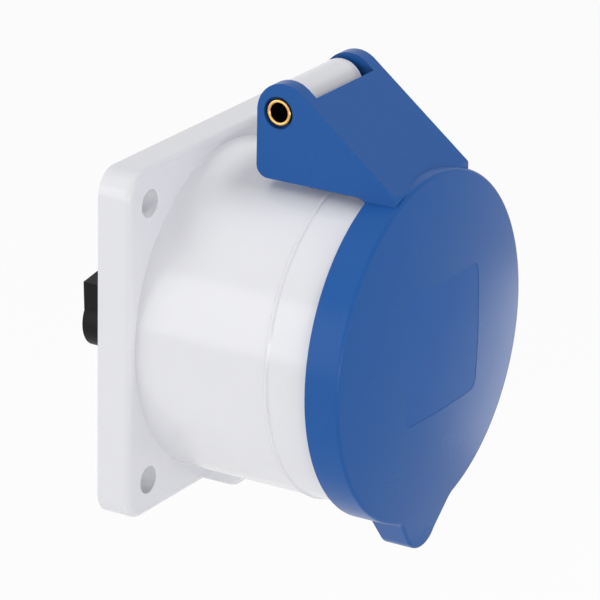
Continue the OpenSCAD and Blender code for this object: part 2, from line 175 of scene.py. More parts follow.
def place(point: Vector, plane: Plane, third: float = 0.0) -> Vector:
    """The place in the object's own frame of a point of an outline.

    Args:
        point: the two numbers of the outline, in millimetres.
        plane: how they are read.
        third: the number that the outline leaves out, in millimetres.

    Returns:
        The place, in metres.
    """
    if plane is Plane.FRONT:
        return Vector((point.x, -third, point.y)) * MM
    if plane is Plane.SIDE:
        return Vector((third, -point.x, point.y)) * MM
    return Vector((point.x, -point.y, 0.0)) * MM


# --- Bench: the operators that shape a mesh ----------------------------------------------


class Bench:
    """Hand tools, each a few operators on one mesh at the origin."""

    SPIN_STEPS = 192
    WELD = 0.002 * MM
    EMPTY = 0.001 * MM
    SAME_PLANE = 0.01 * MM

    @staticmethod
    def pick(piece: Object) -> None:
        """Makes a piece the only one that is selected, and the active one."""
        bpy.ops.object.select_all(action="DESELECT")
        piece.select_set(True)
        bpy.context.view_layer.objects.active = piece

    @classmethod
    def edit(cls, piece: Object, mode: str = "VERT") -> None:
        """Opens a piece in edit mode with everything selected.

        Args:
            piece: the piece.
            mode: what is selected: VERT, EDGE or FACE.
        """
        cls.pick(piece)
        bpy.ops.object.mode_set(mode="EDIT")
        bpy.ops.mesh.select_mode(type=mode)
        bpy.ops.mesh.select_all(action="SELECT")

    @staticmethod
    def done() -> None:
        """Closes edit mode."""
        bpy.ops.object.mode_set(mode="OBJECT")

    @classmethod
    def line(cls, name: str, places: Sequence[Vector]) -> Object:
        """Draws a line by extruding one vertex from place to place, and leaves it open.

        Args:
            name: name of the new piece.
            places: the places in order, in metres.

        Returns:
            The piece, in edit mode.
        """
        bpy.ops.object.select_all(action="DESELECT")
        bpy.ops.mesh.primitive_plane_add(size=MM)
        piece = bpy.context.object
        piece.name = name
        cls.edit(piece)
        bpy.ops.mesh.merge(type="CENTER")
        bpy.ops.transform.translate(value=places[0])
        for start, end in zip(places, places[1:]):
            bpy.ops.mesh.extrude_vertices_move(
                TRANSFORM_OT_translate={"value": end - start}
            )
        bpy.ops.mesh.select_all(action="SELECT")
        return piece

    @classmethod
    def lathe(cls, name: str, profile: Sequence[Vector], closed: bool = True) -> Object:
        """Spins a profile about the shroud's axis.

        Args:
            name: name of the new piece.
            profile: points as radius and distance from the panel, in millimetres.
            closed: whether the profile is closed by a stretch back to its start.

        Returns:
            The closed solid.
        """
        points = list(profile) + ([profile[0]] if closed else [])
        piece = cls.line(name, [place(p, Plane.LATHE) for p in points])
        bpy.ops.mesh.spin(
            steps=cls.SPIN_STEPS, angle=2 * math.pi, center=(0, 0, 0), axis=(0, 1, 0)
        )
        cls.close_up()
        return piece

    @staticmethod
    def close_up() -> None:
        """Merges doubles, drops empty faces, turns the faces out and closes edit mode."""
        bpy.ops.mesh.select_all(action="SELECT")
        bpy.ops.mesh.remove_doubles(threshold=Bench.WELD)
        bpy.ops.mesh.dissolve_degenerate(threshold=Bench.EMPTY)
        bpy.ops.mesh.select_all(action="SELECT")
        bpy.ops.mesh.normals_make_consistent(inside=False)
        Bench.done()

    @classmethod
    def prism(
        cls, name: str, points: Sequence[Vector], plane: Plane, low: float, high: float
    ) -> Object:
        """Extrudes a closed outline.

        Args:
            name: name of the new piece.
            points: the outline, in millimetres.
            plane: how its points are read.
            low: where the solid starts, across the outline, in millimetres.
            high: where it ends.

        Returns:
            The closed solid.
        """
        piece = cls.line(name, [place(p, plane, low) for p in points])
        bpy.ops.mesh.edge_face_add()
        step = place(points[0], plane, high) - place(points[0], plane, low)
        bpy.ops.mesh.extrude_region_move(TRANSFORM_OT_translate={"value": step})
        cls.close_up()
        return piece

    @classmethod
    def drum(
        cls, name: str, centre: Vector, radius: float, low: float, high: float,
        plane: Plane, sides: int = 64,
    ) -> Object:
        """A round prism.

        Args:
            name: name of the new piece.
            centre: centre of the round outline, in millimetres.
            radius: its radius.
            low: where the solid starts, across the outline.
            high: where it ends.
            plane: how the outline is read.
            sides: number of sides.

        Returns:
            The closed solid.
        """
        outline = arc(centre, radius, 0, 360 * (1 - 1 / sides), sides - 1)
        return cls.prism(name, outline, plane, low, high)

    @classmethod
    def soften_front(cls, piece: Object, radius: float, steps: int = 5) -> None:
        """Rounds the front edge of a prism by insets that follow a quarter circle.

        Args:
            piece: a prism whose front face is still one face.
            radius: radius of the edge, in millimetres.
            steps: number of insets.
        """
        cls.edit(piece, "FACE")
        cls.select_front(piece)
        for k in range(steps):
            first = math.pi / 2 * k / steps
            second = math.pi / 2 * (k + 1) / steps
            inwards = radius * (math.cos(first) - math.cos(second))
            outwards = radius * (math.sin(second) - math.sin(first))
            bpy.ops.mesh.inset(
                thickness=inwards * MM, depth=outwards * MM, use_even_offset=True
            )
        cls.done()

    @classmethod
    def slice_front(cls, piece: Object, spacing: float, reach: float) -> None:
        """Slices the front face of a prism into a grid, so that it can be domed.

        Args:
            piece: the prism.
            spacing: distance between cuts, in millimetres.
            reach: distance from the axis to the outermost cuts.
        """
        cls.edit(piece, "FACE")
        cls.select_front(piece)
        count = int(reach / spacing)
        for axis in (Vector((1, 0, 0)), Vector((0, 0, 1))):
            for k in range(-count, count + 1):
                bpy.ops.mesh.bisect(plane_co=axis * (k * spacing * MM), plane_no=axis)
                cls.select_front(piece)
        cls.done()

    @classmethod
    def select_front(cls, piece: Object) -> None:
        """Selects only the faces in the piece's frontmost plane, in edit mode."""
        bpy.ops.mesh.select_all(action="DESELECT")
        cls.done()
        foremost = min(face.center.y for face in piece.data.polygons)
        for face in piece.data.polygons:
            face.select = face.center.y < foremost + cls.SAME_PLANE
        bpy.ops.object.mode_set(mode="EDIT")

    @classmethod
    def modify(cls, piece: Object, kind: str, **settings: object) -> None:
        """Adds a modifier with its settings and applies it."""
        cls.pick(piece)
        modifier = piece.modifiers.new(kind.lower(), kind)
        for name, value in settings.items():
            setattr(modifier, name, value)
        bpy.ops.object.modifier_apply(modifier=modifier.name)

    @classmethod
    def combine(cls, piece: Object, operation: str, tools: Sequence[Object]) -> None:
        """Joins or cuts a piece with tools, which are used up.

        Args:
            piece: the piece that stays.
            operation: UNION, DIFFERENCE or INTERSECT.
            tools: the closed solids to join or to cut with.
        """
        for tool in tools:
            cls.modify(piece, "BOOLEAN", operation=operation, object=tool, solver="EXACT")
            bpy.data.objects.remove(tool)

    @classmethod
    def bevel(cls, piece: Object, width: float, angle: float = 60.0, steps: int = 3) -> None:
        """Rounds each edge that turns by more than an angle.

        Args:
            piece: the piece.
            width: width of the rounding, in millimetres.
            angle: the angle, in degrees.
            steps: number of faces across the rounding.
        """
        cls.modify(
            piece, "BEVEL", width=width * MM, segments=steps, limit_method="ANGLE",
            angle_limit=math.radians(angle), harden_normals=False,
        )

    @classmethod
    def finish(cls, piece: Object, angle: float = 32.0) -> None:
        """Cleans a piece's mesh and shades it smooth.

        Args:
            piece: the piece.
            angle: edges that turn by more stay sharp, in degrees.
        """
        cls.edit(piece)
        cls.close_up()
        cls.edit(piece)
        bpy.ops.mesh.delete_loose(use_verts=True, use_edges=True, use_faces=False)
        cls.done()
        bpy.ops.object.shade_smooth_by_angle(angle=math.radians(angle))
        cls.modify(piece, "WEIGHTED_NORMAL", keep_sharp=True)


# --- Shader nodes ------------------------------------------------------------------------


class Wire:
    """A shader value that takes part in sums: each operator adds a Math node."""

    def __init__(self, book: "NodeBook", socket: NodeSocket) -> None:
        """Keeps the socket and the book that its nodes go in."""
        self.book = book
        self.socket = socket

    def _math(self, operation: str, first: "Term", second: "Term") -> "Wire":
        """Adds one Math node and returns its result."""
        made = self.book.node("ShaderNodeMath", {"operation": operation}, {0: first, 1: second})
        return Wire(self.book, made.outputs[0])

    def __radd__(self, other: "Term") -> "Wire":
        """A number plus this value."""
        return self._math("ADD", other, self)

    def __sub__(self, other: "Term") -> "Wire":
        """This value less another."""
        return self._math("SUBTRACT", self, other)

    def __mul__(self, other: "Term") -> "Wire":
        """This value times another."""
        return self._math("MULTIPLY", self, other)

    def __or__(self, other: "Term") -> "Wire":
        """The larger of this value and another."""
        return self._math("MAXIMUM", self, other)


Term = Union[Wire, float]
Colour = tuple[float, float, float]


class NodeBook:
    """The nodes of one tree, of a material or of the world."""

    def __init__(self, owner: Union[Material, World]) -> None:
        """Empties the tree of a material or a world."""
        owner.use_nodes = True
        self.tree = owner.node_tree
        self.tree.nodes.clear()

    def node(
        self, kind: str, settings: Optional[dict] = None, inputs: Optional[dict] = None
    ) -> Node:
        """Adds a node, sets it up and fills its sockets.

        Args:
            kind: the node's type.
            settings: its own settings, set first.
            inputs: values or links, by socket name or number.

        Returns:
            The node.
        """
        made = self.tree.nodes.new(kind)
        for name, value in (settings or {}).items():
            setattr(made, name, value)
        for name, value in (inputs or {}).items():
            self.feed(made.inputs[name], value)
        return made

    def feed(self, socket: NodeSocket, value: object) -> None:
        """Links a socket to a value that varies, or sets it to one that doesn't."""
        if isinstance(value, Wire):
            self.tree.links.new(value.socket, socket)
        elif isinstance(value, NodeSocket):
            self.tree.links.new(value, socket)
        elif isinstance(value, tuple) and len(value) == 3 and socket.type == "RGBA":
            socket.default_value = (*value, 1.0)
        else:
            socket.default_value = value

    def swap(self, share: Wire, first: Node, second: Node, output: str) -> None:
        """Shows one shader or the other.

        Args:
            share: how far the second one shows.
            first: the shader that shows at 0.
            second: the shader that shows at 1.
            output: type of the tree's output node.
        """
        mix = self.node("ShaderNodeMixShader", {},
                        {0: share, 1: first.outputs[0], 2: second.outputs[0]})
        self.node(output, {}, {"Surface": mix.outputs[0]})


class SurfaceBook(NodeBook):
    """The nodes of one material with a principled surface."""

    def __init__(self, name: str) -> None:
        """Starts the material."""
        self.material = bpy.data.materials.new(name)
        super().__init__(self.material)
        self.surface = self.node("ShaderNodeBsdfPrincipled")
        self.node("ShaderNodeOutputMaterial", {}, {"Surface": self.surface.outputs[0]})

    def paint(self, **inputs: object) -> Material:
        """Fills the surface's sockets, whose names have _ for a space, and gives the material."""
        for name, value in inputs.items():
            self.feed(self.surface.inputs[name.replace("_", " ")], value)
        return self.material

    def noise(self, scale: float, detail: float) -> Wire:
        """A noise from 0 to 1 in the object's own space.

        Args:
            scale: lumps per metre.
            detail: number of finer layers.

        Returns:
            The noise as a value.
        """
        space = self.node("ShaderNodeTexCoord")
        made = self.node(
            "ShaderNodeTexNoise", {},
            {"Vector": space.outputs["Object"], "Scale": scale, "Detail": detail},
        )
        return Wire(self, made.outputs["Fac"])

    def blend(self, factor: Term, first: Colour, second: Colour) -> NodeSocket:
        """Mixes two colours.

        Args:
            factor: how far the second one shows.
            first: the colour at 0.
            second: the colour at 1.

        Returns:
            The socket that holds the mix.
        """
        made = self.node(
            "ShaderNodeMix", {"data_type": "RGBA"}, {0: factor, 6: first, 7: second}
        )
        return made.outputs[2]

    def bump(self, height: Wire, depth: float) -> NodeSocket:
        """A bump of a given depth in metres, as a normal."""
        made = self.node("ShaderNodeBump", {}, {"Height": height, "Distance": depth})
        return made.outputs[0]


# --- Finishes ----------------------------------------------------------------------------


@dataclass(frozen=True)
class MouldedPlastic:
    """Moulded plastic: an even colour with faint clouding and a fine skin."""

    name: str
    colour: Colour
    cloud: Colour
    roughness: float
    specular: float = 0.5
    clouds: float = 55.0
    grain: float = 1400.0
    grain_depth: float = 0.006 * MM
    uneven: float = 0.06

    def make(self) -> Material:
        """Builds the material."""
        book = SurfaceBook(self.name)
        cloud = book.noise(self.clouds, 3.0)
        skin = book.noise(self.grain, 2.0)
        return book.paint(
            Base_Color=book.blend(cloud, self.colour, self.cloud),
            Roughness=self.roughness + (cloud - 0.5) * self.uneven,
            Normal=book.bump(skin, self.grain_depth),
            Specular_IOR_Level=self.specular,
        )


@dataclass(frozen=True)
class TurnedMetal:
    """Metal with a fine grain and a slightly uneven tone."""

    name: str
    colour: Colour
    dull: Colour
    roughness: float
    tones: float = 240.0
    grain: float = 900.0
    grain_depth: float = 0.008 * MM
    uneven: float = 0.16

    def make(self) -> Material:
        """Builds the material."""
        book = SurfaceBook(self.name)
        tone = book.noise(self.tones, 3.0)
        grain = book.noise(self.grain, 3.0)
        return book.paint(
            Base_Color=book.blend(tone, self.colour, self.dull),
            Metallic=1.0,
            Roughness=self.roughness + (grain - 0.5) * self.uneven,
            Normal=book.bump(grain, self.grain_depth),
        )


@dataclass(frozen=True)
class SealRubber:
    """Soft black rubber with a matt, faintly dusty skin."""

    name: str
    colour: Colour
    dust: Colour
    roughness: float = 0.62
    specks: float = 300.0
    grain: float = 2600.0
    grain_depth: float = 0.02 * MM
    uneven: float = 0.2

    def make(self) -> Material:
        """Builds the material."""
        book = SurfaceBook(self.name)
        dust = book.noise(self.specks, 4.0)
        skin = book.noise(self.grain, 2.0)
        return book.paint(
            Base_Color=book.blend(dust, self.colour, self.dust),
            Roughness=self.roughness + (dust - 0.5) * self.uneven,
            Normal=book.bump(skin, self.grain_depth),
        )


Finish = Union[MouldedPlastic, TurnedMetal, SealRubber]

WHITE_SHELL = MouldedPlastic("white_shell", (0.80, 0.80, 0.825), (0.77, 0.77, 0.80), 0.15)
BLUE_LID = MouldedPlastic(
    "blue_lid", (0.017, 0.103, 0.355), (0.016, 0.098, 0.34), 0.28, specular=0.14)
BLUE_FIELD = MouldedPlastic(
    "blue_field", (0.019, 0.105, 0.362), (0.018, 0.1, 0.35), 0.5, specular=0.17)
BLACK_CARRIER = MouldedPlastic(
    "black_carrier", (0.008, 0.008, 0.009), (0.012, 0.012, 0.012), 0.45, specular=0.12)
BRIGHT_TUBE = TurnedMetal("bright_tube", (0.83, 0.47, 0.16), (0.70, 0.36, 0.10), 0.2)
# Near-black brown for the pin tube's inside: painted shade in the bore, in place of the brass's
# own colour.
BORE_PAINTED_SHADE = TurnedMetal("bore_painted_shade", (0.035, 0.022, 0.014), (0.02, 0.012, 0.008), 0.5)
CONTACT_BRASS = TurnedMetal("contact_brass", (0.72, 0.50, 0.20), (0.62, 0.42, 0.16), 0.3)
PLATED_STEEL = TurnedMetal("plated_steel", (0.62, 0.63, 0.65), (0.52, 0.53, 0.56), 0.3)
RUBBER = SealRubber("seal_rubber", (0.022, 0.022, 0.022), (0.04, 0.04, 0.04))


def dress(piece: Object, finish: Finish) -> None:
    """Gives a piece one finish all over, with the material of that name if there is one."""
    piece.data.materials.clear()
    piece.data.materials.append(bpy.data.materials.get(finish.name) or finish.make())


def dress_part(piece: Object, finish: Finish, holds: Callable[[Vector], bool]) -> None:
    """Gives some faces of a piece a finish of their own.

    Args:
        piece: a piece that has its main finish.
        finish: the finish of the chosen faces.
        holds: tells from a face's centre whether it is one of them.
    """
    piece.data.materials.append(finish.make())
    for face in piece.data.polygons:
        if holds(face.center):
            face.material_index = len(piece.data.materials) - 1


def seat(piece: Object, body: Body, node: str) -> None:
    """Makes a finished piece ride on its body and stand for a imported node.

    Args:
        piece: the finished piece.
        body: the body that it moves with.
        node: the node that it stands for.
    """
    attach(piece, body.value)
    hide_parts(node)
    LOG.info("%s: %d faces, rides on %s", piece.name, len(piece.data.polygons), body.value)


# --- Housing -----------------------------------------------------------------------------


@dataclass
class Housing:
    """White moulding: square flange, round shroud, hinge neck and barrel."""

    flange_w: float = 70.0
    flange_t: float = 7.0
    corner_r: float = 5.0
    edge_r: float = 1.2
    hole_pitch: float = 56.0
    hole_r: float = 2.75
    shroud_r: float = 32.8
    shroud_end: float = 45.2
    lip_r: float = 31.8
    mouth: float = 48.4
    bore_r: float = 29.4
    core_hole_r: float = 24.0
    recess_r: float = 28.0
    recess: float = 4.0
    web: float = 4.0
    body_from: float = 2.0
    step_r: float = 0.3
    lip_edge_r: float = 0.4
    flare: float = 0.9
    web_r: float = 0.6
    ridge_at: float = 36.0
    ridge_w: float = 0.5
    ridge_h: float = 0.32
    ridge_r: float = 0.15
    pin_at: Vector = PIN_AT
    barrel_r: float = 4.8
    barrel_left: float = -10.3
    barrel_right: float = 9.5
    neck_back: float = 3.2
    neck_sunk: float = 3.0
    neck_edge_r: float = 0.25
    bore_clear: float = 0.05
    pocket_r: float = 3.75
    pocket_from: float = 1.6
    slot_w: float = 1.1
    slot_shift: float = 3.1
    slot_len: float = 6.0
    rib_w: float = 15.0
    rib_from: float = 3.0
    rib_end: float = 15.5
    rib_h: float = 6.0
    rib_r: float = 3.0
    rib_edge_r: float = 0.6
    key_w: float = 8.0
    key_depth: float = 1.5
    seal_in: float = 29.6
    seal_out: float = 32.6
    seal_depth: float = 1.5

    def flange(self) -> Object:
        """The square plate with its rounded front edge."""
        half = self.flange_w / 2
        plate = Bench.prism("flange", box(-half, -half, half, half, self.corner_r),
                            Plane.FRONT, 0.0, self.flange_t - self.edge_r)
        Bench.soften_front(plate, self.edge_r)
        return plate

    def shroud(self) -> Object:
        """The shroud's outside with its raised ring, step and lip, as a full body."""
        top, near = self.shroud_r + self.ridge_h, self.ridge_w / 3
        ridge = rounded([
            Corner(self.shroud_r, self.ridge_at - self.ridge_w),
            Corner(top, self.ridge_at - near, self.ridge_r),
            Corner(top, self.ridge_at + near, self.ridge_r),
            Corner(self.shroud_r, self.ridge_at + self.ridge_w)], closed=False)
        mouth = rounded([
            Corner(self.shroud_r, self.shroud_end - 1),
            Corner(self.shroud_r, self.shroud_end, self.step_r),
            Corner(self.lip_r, self.shroud_end),
            Corner(self.lip_r, self.mouth, self.lip_edge_r),
            Corner(0.0, self.mouth)], closed=False, step=18)
        start = [Vector((0.0, self.body_from)), Vector((self.shroud_r, self.body_from))]
        return Bench.lathe("shroud", start + ridge + mouth, closed=False)

    def hinge_neck(self) -> Object:
        """The barrel and the neck that carries it."""
        back = self.pin_at.x - self.neck_back
        dip = math.sqrt(self.barrel_r**2 - self.neck_back**2)
        low = self.shroud_r - self.neck_sunk
        first = 180 + math.degrees(math.atan2(dip, self.neck_back))
        outline = [Vector((back, low))]
        outline += arc(self.pin_at, self.barrel_r, first, 0, 48)
        outline += [Vector((self.pin_at.x + self.barrel_r, low))]
        neck = Bench.prism("neck", outline, Plane.SIDE, self.barrel_left, self.barrel_right)
        Bench.bevel(neck, self.neck_edge_r, steps=2)
        return neck

    def rib(self) -> Object:
        """The rib under the shroud, flush with the flange's lower edge."""
        low = -self.flange_w / 2
        outline = rounded([
            Corner(self.rib_from, low), Corner(self.rib_end, low, self.rib_r),
            Corner(self.rib_end, low + self.rib_h), Corner(self.rib_from, low + self.rib_h)])
        rib = Bench.prism("rib", outline, Plane.SIDE, -self.rib_w / 2, self.rib_w / 2)
        Bench.bevel(rib, self.rib_edge_r)
        return rib

    def holes(self) -> list[Object]:
        """Cutters for the four fixing holes."""
        half = self.hole_pitch / 2
        return [Bench.drum("hole", Vector((across, up)), self.hole_r, -1, self.flange_t + 1,
                           Plane.FRONT, 48)
                for across in (-half, half) for up in (-half, half)]

    def inside(self) -> Object:
        """A cutter for the recess, the core's hole and the bore, spun as one."""
        web_front, past = self.recess + self.web, self.mouth + 0.5
        profile = rounded([
            Corner(0.0, -1.0), Corner(self.recess_r, -1.0),
            Corner(self.recess_r, self.recess), Corner(self.core_hole_r, self.recess),
            Corner(self.core_hole_r, web_front), Corner(self.bore_r, web_front, self.web_r),
            Corner(self.bore_r, past - self.flare), Corner(self.bore_r + self.flare, past),
            Corner(0.0, past)], closed=False)
        return Bench.lathe("inside", profile, closed=False)

    def seal_groove(self) -> Object:
        """A cutter for the ring-shaped groove in the flange's back."""
        ring = box(self.seal_in, -1, self.seal_out, self.seal_depth)
        return Bench.lathe("groove", ring)

    def hinge_cutters(self) -> list[Object]:
        """Cutters for the pin's bore, the spring's pocket and the slot for its leg."""
        slot_at = self.pin_at.x + self.slot_shift
        slot = box(slot_at - self.slot_w / 2, self.pin_at.y - self.slot_len,
                   slot_at + self.slot_w / 2, self.pin_at.y)
        far = self.barrel_right + 1
        return [
            Bench.drum("pin_bore", self.pin_at, PIN_R + self.bore_clear,
                       self.barrel_left - 1, far, Plane.SIDE),
            Bench.drum("pocket", self.pin_at, self.pocket_r, self.pocket_from, far, Plane.SIDE),
            Bench.prism("leg_slot", slot, Plane.SIDE, self.pocket_from, far),
        ]

    def keyway(self) -> Object:
        """A cutter for the keyway at the bottom of the bore."""
        key = box(-self.key_w / 2, -self.bore_r - self.key_depth, self.key_w / 2, 0)
        return Bench.prism("keyway", key, Plane.FRONT, self.recess + self.web, self.mouth + 12)

    def build(self) -> Object:
        """Models the housing.

        Returns:
            The finished moulding.
        """
        body = self.flange()
        Bench.combine(body, "UNION", [self.shroud(), self.hinge_neck(), self.rib()])
        Bench.combine(body, "DIFFERENCE", [self.inside(), self.keyway(), self.seal_groove()]
                      + self.holes() + self.hinge_cutters())
        body.name = "housing_moulding"
        Bench.finish(body)
        dress(body, WHITE_SHELL)
        seat(body, Body.HOUSING, "housing")
        return body


# --- Lid ---------------------------------------------------------------------------------


@dataclass
class Lid:
    """Blue moulding: rim, domed front, latch nose and sloped cover over the hinge."""

    rim_r: float = 34.6
    rim_in: float = 32.8
    rim_back: float = 45.5
    rim_front: float = 52.7
    edge_r: float = 0.6
    dome_rise: float = 3.0
    wall: float = 2.5
    seal_land: float = 27.4
    nose_w: float = 18.8
    nose_len: float = 6.8
    nose_drop: float = 0.9
    nose_r: float = 6.2
    blend_r: float = 4.0
    label_w: float = 27.0
    label_h: float = 26.0
    label_lift: float = 1.0
    label_depth: float = 0.05
    label_r: float = 2.0
    pin_at: Vector = PIN_AT
    pin_clear: float = 0.02
    sink_r: float = 3.15
    sink_depth: float = 1.2
    ear_out: float = 13.7
    ear_in: float = 10.5
    ear_r: float = 5.8
    ear_shift: float = 1.1
    ear_low: float = 32.2
    ear_corner_r: float = 2.5
    fillet_r: float = 2.0
    slope_t: float = 2.6
    front_back: float = 0.8
    front_r: float = 0.7
    foot_drop: float = 0.6
    cover_edge_r: float = 0.2
    slot_r: float = 7.15
    swing_r: float = 33.6
    swing_from: float = 5.0
    dome_sunk: float = 1.0
    grid: float = 2.0
    grid_reach: float = 42.0
    hollow_back: float = 9.0
    hollow_low: float = 6.0
    hollow_high: float = 12.0
    shelf_from: float = 9.0
    shelf_to: float = 13.0
    shelf_low: float = -5.0
    shelf_high: float = -3.6
    shelf_in: float = 9.6

    @property
    def dome_edge_r(self) -> float:
        """Radius at which the dome meets the rounded edge."""
        return self.rim_r - self.edge_r

    def dome(self, radius: float) -> float:
        """Height of the dome over the lid's edge at a radius, in millimetres."""
        ball = (self.dome_edge_r**2 + self.dome_rise**2) / (2 * self.dome_rise)
        return self.dome_rise - ball + math.sqrt(ball**2 - radius**2)

    def dome_line(self, reach: float, base: float, steps: int) -> list[Vector]:
        """Half of the dome's section, for a lathe.

        Args:
            reach: radius at which it starts.
            base: distance from the panel to the foot of the dome.
            steps: number of stretches up to the axis.

        Returns:
            The points, as radius and distance from the panel.
        """
        radii = [reach * k / steps for k in range(steps, -1, -1)]
        return [Vector((radius, base + self.dome(radius))) for radius in radii]

    def slope_point(self, depth: float, out: float) -> Vector:
        """A place on a line that runs along the cover's slope, seen from the side.

        Args:
            depth: distance of the line below the cover's face.
            out: the place's distance from the panel.

        Returns:
            The place, as distance from the panel and height.
        """
        normal = Vector((math.sin(COVER_SLOPE), math.cos(COVER_SLOPE)))
        start = self.pin_at + Vector((self.ear_shift, 0)) + (self.ear_r - depth) * normal
        return Vector((out, start.y - (out - start.x) * math.tan(COVER_SLOPE)))

    def front_outline(self) -> list[Vector]:
        """The rim's circle with the latch nose blended into it at the bottom."""
        tip = Vector((0.0, -(self.rim_r + self.nose_len - self.nose_r)))
        root = Vector((self.nose_w / 2, -math.sqrt(self.rim_r**2 - self.nose_w**2 / 4)))
        away = root - tip
        touch_angle = math.atan2(away.y, away.x) - math.acos(self.nose_r / away.length)
        touch = tip + self.nose_r * Vector((math.cos(touch_angle), math.sin(touch_angle)))
        along = (root - touch).normalized()
        out = Vector((along.y, -along.x))
        offset = out.dot(touch) + self.blend_r
        back = math.sqrt((self.rim_r + self.blend_r) ** 2 - offset**2)
        blend = offset * out - back * along
        on_rim = blend * self.rim_r / (self.rim_r + self.blend_r)
        rim_angle = math.degrees(math.atan2(on_rim.y, on_rim.x))
        foot_angle = math.degrees(math.atan2(-out.y, -out.x))
        side = math.degrees(math.atan2(-blend.y, -blend.x))
        right = arc(blend, self.blend_r, side, foot_angle, 6)
        half_tip = arc(tip, self.nose_r, math.degrees(touch_angle), -90, 12)
        down = right + half_tip
        up = [Vector((-p.x, p.y)) for p in reversed(down[:-1])]
        round_rim = arc(Vector((0, 0)), self.rim_r, 180 - rim_angle, rim_angle, 180)
        return down + up + round_rim[1:-1]

    def cover(self) -> Object:
        """The lid's disc and nose, with a rounded edge and a domed front."""
        back = self.rim_front - self.dome_sunk - self.edge_r
        disc = Bench.prism("cover", self.front_outline(), Plane.FRONT, self.rim_back, back)
        Bench.soften_front(disc, self.edge_r)
        Bench.slice_front(disc, self.grid, self.grid_reach)
        group = disc.vertex_groups.new(name="dome")
        lift = self.dome_sunk + self.dome_rise
        for vertex in disc.data.vertices:
            if vertex.co.y < -back * MM + Bench.SAME_PLANE:
                radius = math.hypot(vertex.co.x, vertex.co.z) / MM
                rise = self.dome_sunk + max(self.dome(radius), -self.nose_drop)
                group.add([vertex.index], rise / lift, "REPLACE")
        Bench.modify(disc, "DISPLACE", vertex_group="dome", direction="Y",
                     strength=-lift * MM, mid_level=0.0, texture_coords="LOCAL")
        return disc

    def inner_dome(self, lowered: float, edge: float, floor: float) -> Object:
        """A domed body that lies below the lid's front by a given amount.

        Args:
            lowered: distance below the lid's own front.
            edge: outer radius of the body.
            floor: distance from the panel to its flat back.

        Returns:
            The closed body.
        """
        profile = [Vector((0.0, floor)), Vector((edge, floor))]
        profile += self.dome_line(edge, self.rim_front - lowered, 24)
        return Bench.lathe("inner_dome", profile, closed=False)

    def cavity(self) -> Object:
        """A cutter for the room behind the lid's front, with the seal's flat land."""
        land = self.rim_front - self.wall
        start = self.rim_back - 1
        profile = [Vector((0.0, start)), Vector((self.rim_in, start)),
                   Vector((self.rim_in, land)), Vector((self.seal_land, land))]
        profile += self.dome_line(self.seal_land, land, 16)
        return Bench.lathe("cavity", profile, closed=False)

    def label(self) -> Object:
        """A cutter for the sunk label field, whose floor follows the dome."""
        half_w, half_h = self.label_w / 2, self.label_h / 2
        outline = box(-half_w, self.label_lift - half_h, half_w, self.label_lift + half_h,
                      self.label_r, step=9)
        block = Bench.prism(
            "label", outline, Plane.FRONT, self.rim_front - 2, self.rim_front + 4
        )
        Bench.combine(block, "DIFFERENCE", [
            self.inner_dome(self.label_depth, 30.0, self.rim_front - 4)])
        return block

    def _in_field(self, centre: Vector) -> bool:
        """Whether a face's centre lies in the sunk label field."""
        across, up = centre.x / MM, centre.z / MM - self.label_lift
        depth = self.rim_front + self.dome(math.hypot(centre.x, centre.z) / MM) + centre.y / MM
        return (abs(across) < self.label_w / 2 + 0.01 and abs(up) < self.label_h / 2 + 0.01
                and abs(depth) < 2 * self.label_depth and depth > self.label_depth / 4)

    def side_outline(self) -> list[Vector]:
        """The hinge cover seen from the side: round top, slope, and foot on the rim."""
        back = self.pin_at.x + self.ear_shift - self.ear_r
        front = self.rim_front - self.front_back
        foot = self.ear_low - self.fillet_r - self.foot_drop
        top, tip = self.slope_point(0, back), self.slope_point(0, front)
        return rounded([
            Corner(back, top.y, self.ear_r), Corner(front, tip.y, self.front_r),
            Corner(front, foot), Corner(self.rim_back, foot),
            Corner(self.rim_back, self.ear_low, self.fillet_r),
            Corner(back, self.ear_low, self.ear_corner_r)])

    def hinge_cover(self) -> Object:
        """The two ears and the sloped cover between them, hollow underneath."""
        block = Bench.prism(
            "hinge_cover", self.side_outline(), Plane.SIDE, -self.ear_out, self.ear_out
        )
        Bench.bevel(block, self.cover_edge_r)
        back, low = self.pin_at.x - self.hollow_back, self.ear_low - self.hollow_low
        high = self.pin_at.y + self.hollow_high
        hollow = [
            Vector((back, low)), Vector((self.rim_back, low)),
            self.slope_point(self.slope_t, self.rim_back),
            self.slope_point(self.slope_t, self.pin_at.x),
            Vector((self.pin_at.x, high)), Vector((back, high))]
        cutters = [
            Bench.prism("hollow", hollow, Plane.SIDE, -self.ear_in, self.ear_in),
            Bench.drum("slot", self.pin_at, self.slot_r, -self.ear_in, self.ear_in,
                       Plane.SIDE, 96),
        ]
        Bench.combine(block, "DIFFERENCE", cutters)
        return block

    def shelf(self) -> Object:
        """The shelf inside the right ear that the spring's moving leg presses on."""
        turn = Matrix.Rotation(-COVER_SLOPE, 2)
        flat = box(self.shelf_from, self.shelf_low, self.shelf_to, self.shelf_high)
        outline = [self.pin_at + turn @ corner for corner in flat]
        return Bench.prism("shelf", outline, Plane.SIDE, self.shelf_in, self.ear_in + 0.01)

    def pin_holes(self) -> list[Object]:
        """Cutters for the pin's hole and the wider sinks at its ends."""
        far = self.ear_out + 1
        sink = self.ear_out - self.sink_depth
        return [
            Bench.drum("pin_hole", self.pin_at, PIN_R + self.pin_clear, -far, far,
                       Plane.SIDE),
            Bench.drum("sink", self.pin_at, self.sink_r, sink, far, Plane.SIDE),
            Bench.drum("sink", self.pin_at, self.sink_r, -far, -sink, Plane.SIDE),
        ]

